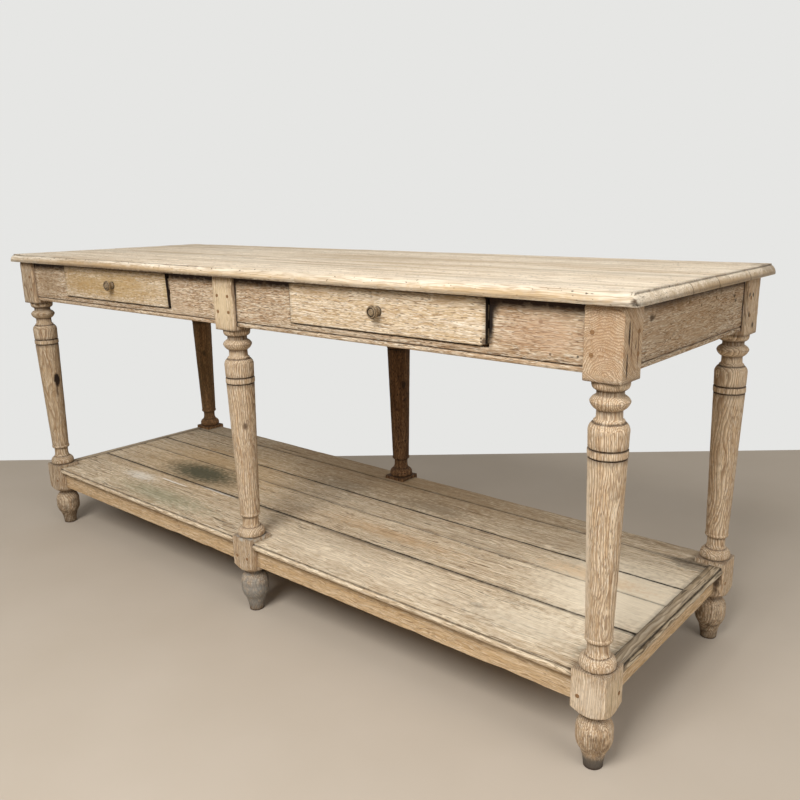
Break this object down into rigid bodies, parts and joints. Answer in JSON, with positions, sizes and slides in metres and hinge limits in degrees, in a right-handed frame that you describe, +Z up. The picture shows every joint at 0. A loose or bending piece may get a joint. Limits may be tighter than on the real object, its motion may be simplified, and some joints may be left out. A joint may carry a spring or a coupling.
{
  "type": "drapers table",
  "caption": "Long oak work table: moulded plank top on turned legs, beaded aprons with knobbed drawers at the front, and a plank shelf on stretchers near the floor.",
  "frame": {"origin": "on the floor under the middle of the top", "axes": "+X along the table to the right of a person who faces the drawers, +Y to the rear, +Z up"},
  "size_m": [2, 0.665, 0.854],
  "materials": {
    "top_oak": "bleached oak, scrubbed and worn",
    "rail_oak": "stripped oak, dry",
    "leg_oak": "stripped oak, turned, dry",
    "peg_oak": "oak, end grain",
    "shelf_oak": "stripped oak, stained by use",
    "drawer_oak": "stripped oak, dry",
    "drawer_lining": "planed oak, dry",
    "knob_oak": "turned oak, greyed by handling"
  },
  "bodies": {
    "frame": {"apron_pegs": "peg_oak", "front_left_apron": "rail_oak", "front_left_leg": "leg_oak", "front_left_stretcher": "rail_oak", "front_middle_leg": "leg_oak", "front_right_apron": "rail_oak", "front_right_leg": "leg_oak", "front_right_stretcher": "rail_oak", "left_drawer_left_guide": "drawer_lining", "left_drawer_left_runner": "drawer_lining", "left_drawer_right_guide": "drawer_lining", "left_drawer_right_runner": "drawer_lining", "left_end_apron": "rail_oak", "left_end_stretcher": "rail_oak", "middle_cross_rail": "rail_oak", "middle_stretcher": "rail_oak", "rear_left_apron": "rail_oak", "rear_left_leg": "leg_oak", "rear_left_stretcher": "rail_oak", "rear_middle_leg": "leg_oak", "rear_right_apron": "rail_oak", "rear_right_leg": "leg_oak", "rear_right_stretcher": "rail_oak", "right_drawer_left_guide": "drawer_lining", "right_drawer_left_runner": "drawer_lining", "right_drawer_right_guide": "drawer_lining", "right_drawer_right_runner": "drawer_lining", "right_end_apron": "rail_oak", "right_end_stretcher": "rail_oak", "shelf_fourth_board": "shelf_oak", "shelf_front_board": "shelf_oak", "shelf_left_end_cap": "shelf_oak", "shelf_rear_board": "shelf_oak", "shelf_right_end_cap": "shelf_oak", "shelf_second_board": "shelf_oak", "shelf_third_board": "shelf_oak", "stretcher_pegs": "peg_oak", "top_front_board": "top_oak", "top_rear_board": "top_oak", "top_second_board": "top_oak", "top_third_board": "top_oak"},
    "left_drawer": {"left_drawer_front": "drawer_oak", "left_drawer_left_side": "drawer_lining", "left_drawer_right_side": "drawer_lining", "left_drawer_back": "drawer_lining", "left_drawer_bottom": "drawer_lining", "left_drawer_knob": "knob_oak"},
    "right_drawer": {"right_drawer_front": "drawer_oak", "right_drawer_left_side": "drawer_lining", "right_drawer_right_side": "drawer_lining", "right_drawer_back": "drawer_lining", "right_drawer_bottom": "drawer_lining", "right_drawer_knob": "knob_oak"}
  },
  "joints": [
    {"name": "left_drawer_slide", "type": "slide", "parent": "frame", "child": "left_drawer", "axis": [0, -1, 0], "range_m": [0, 0.4]},
    {"name": "right_drawer_slide", "type": "slide", "parent": "frame", "child": "right_drawer", "axis": [0, -1, 0], "range_m": [0, 0.4]}
  ]
}
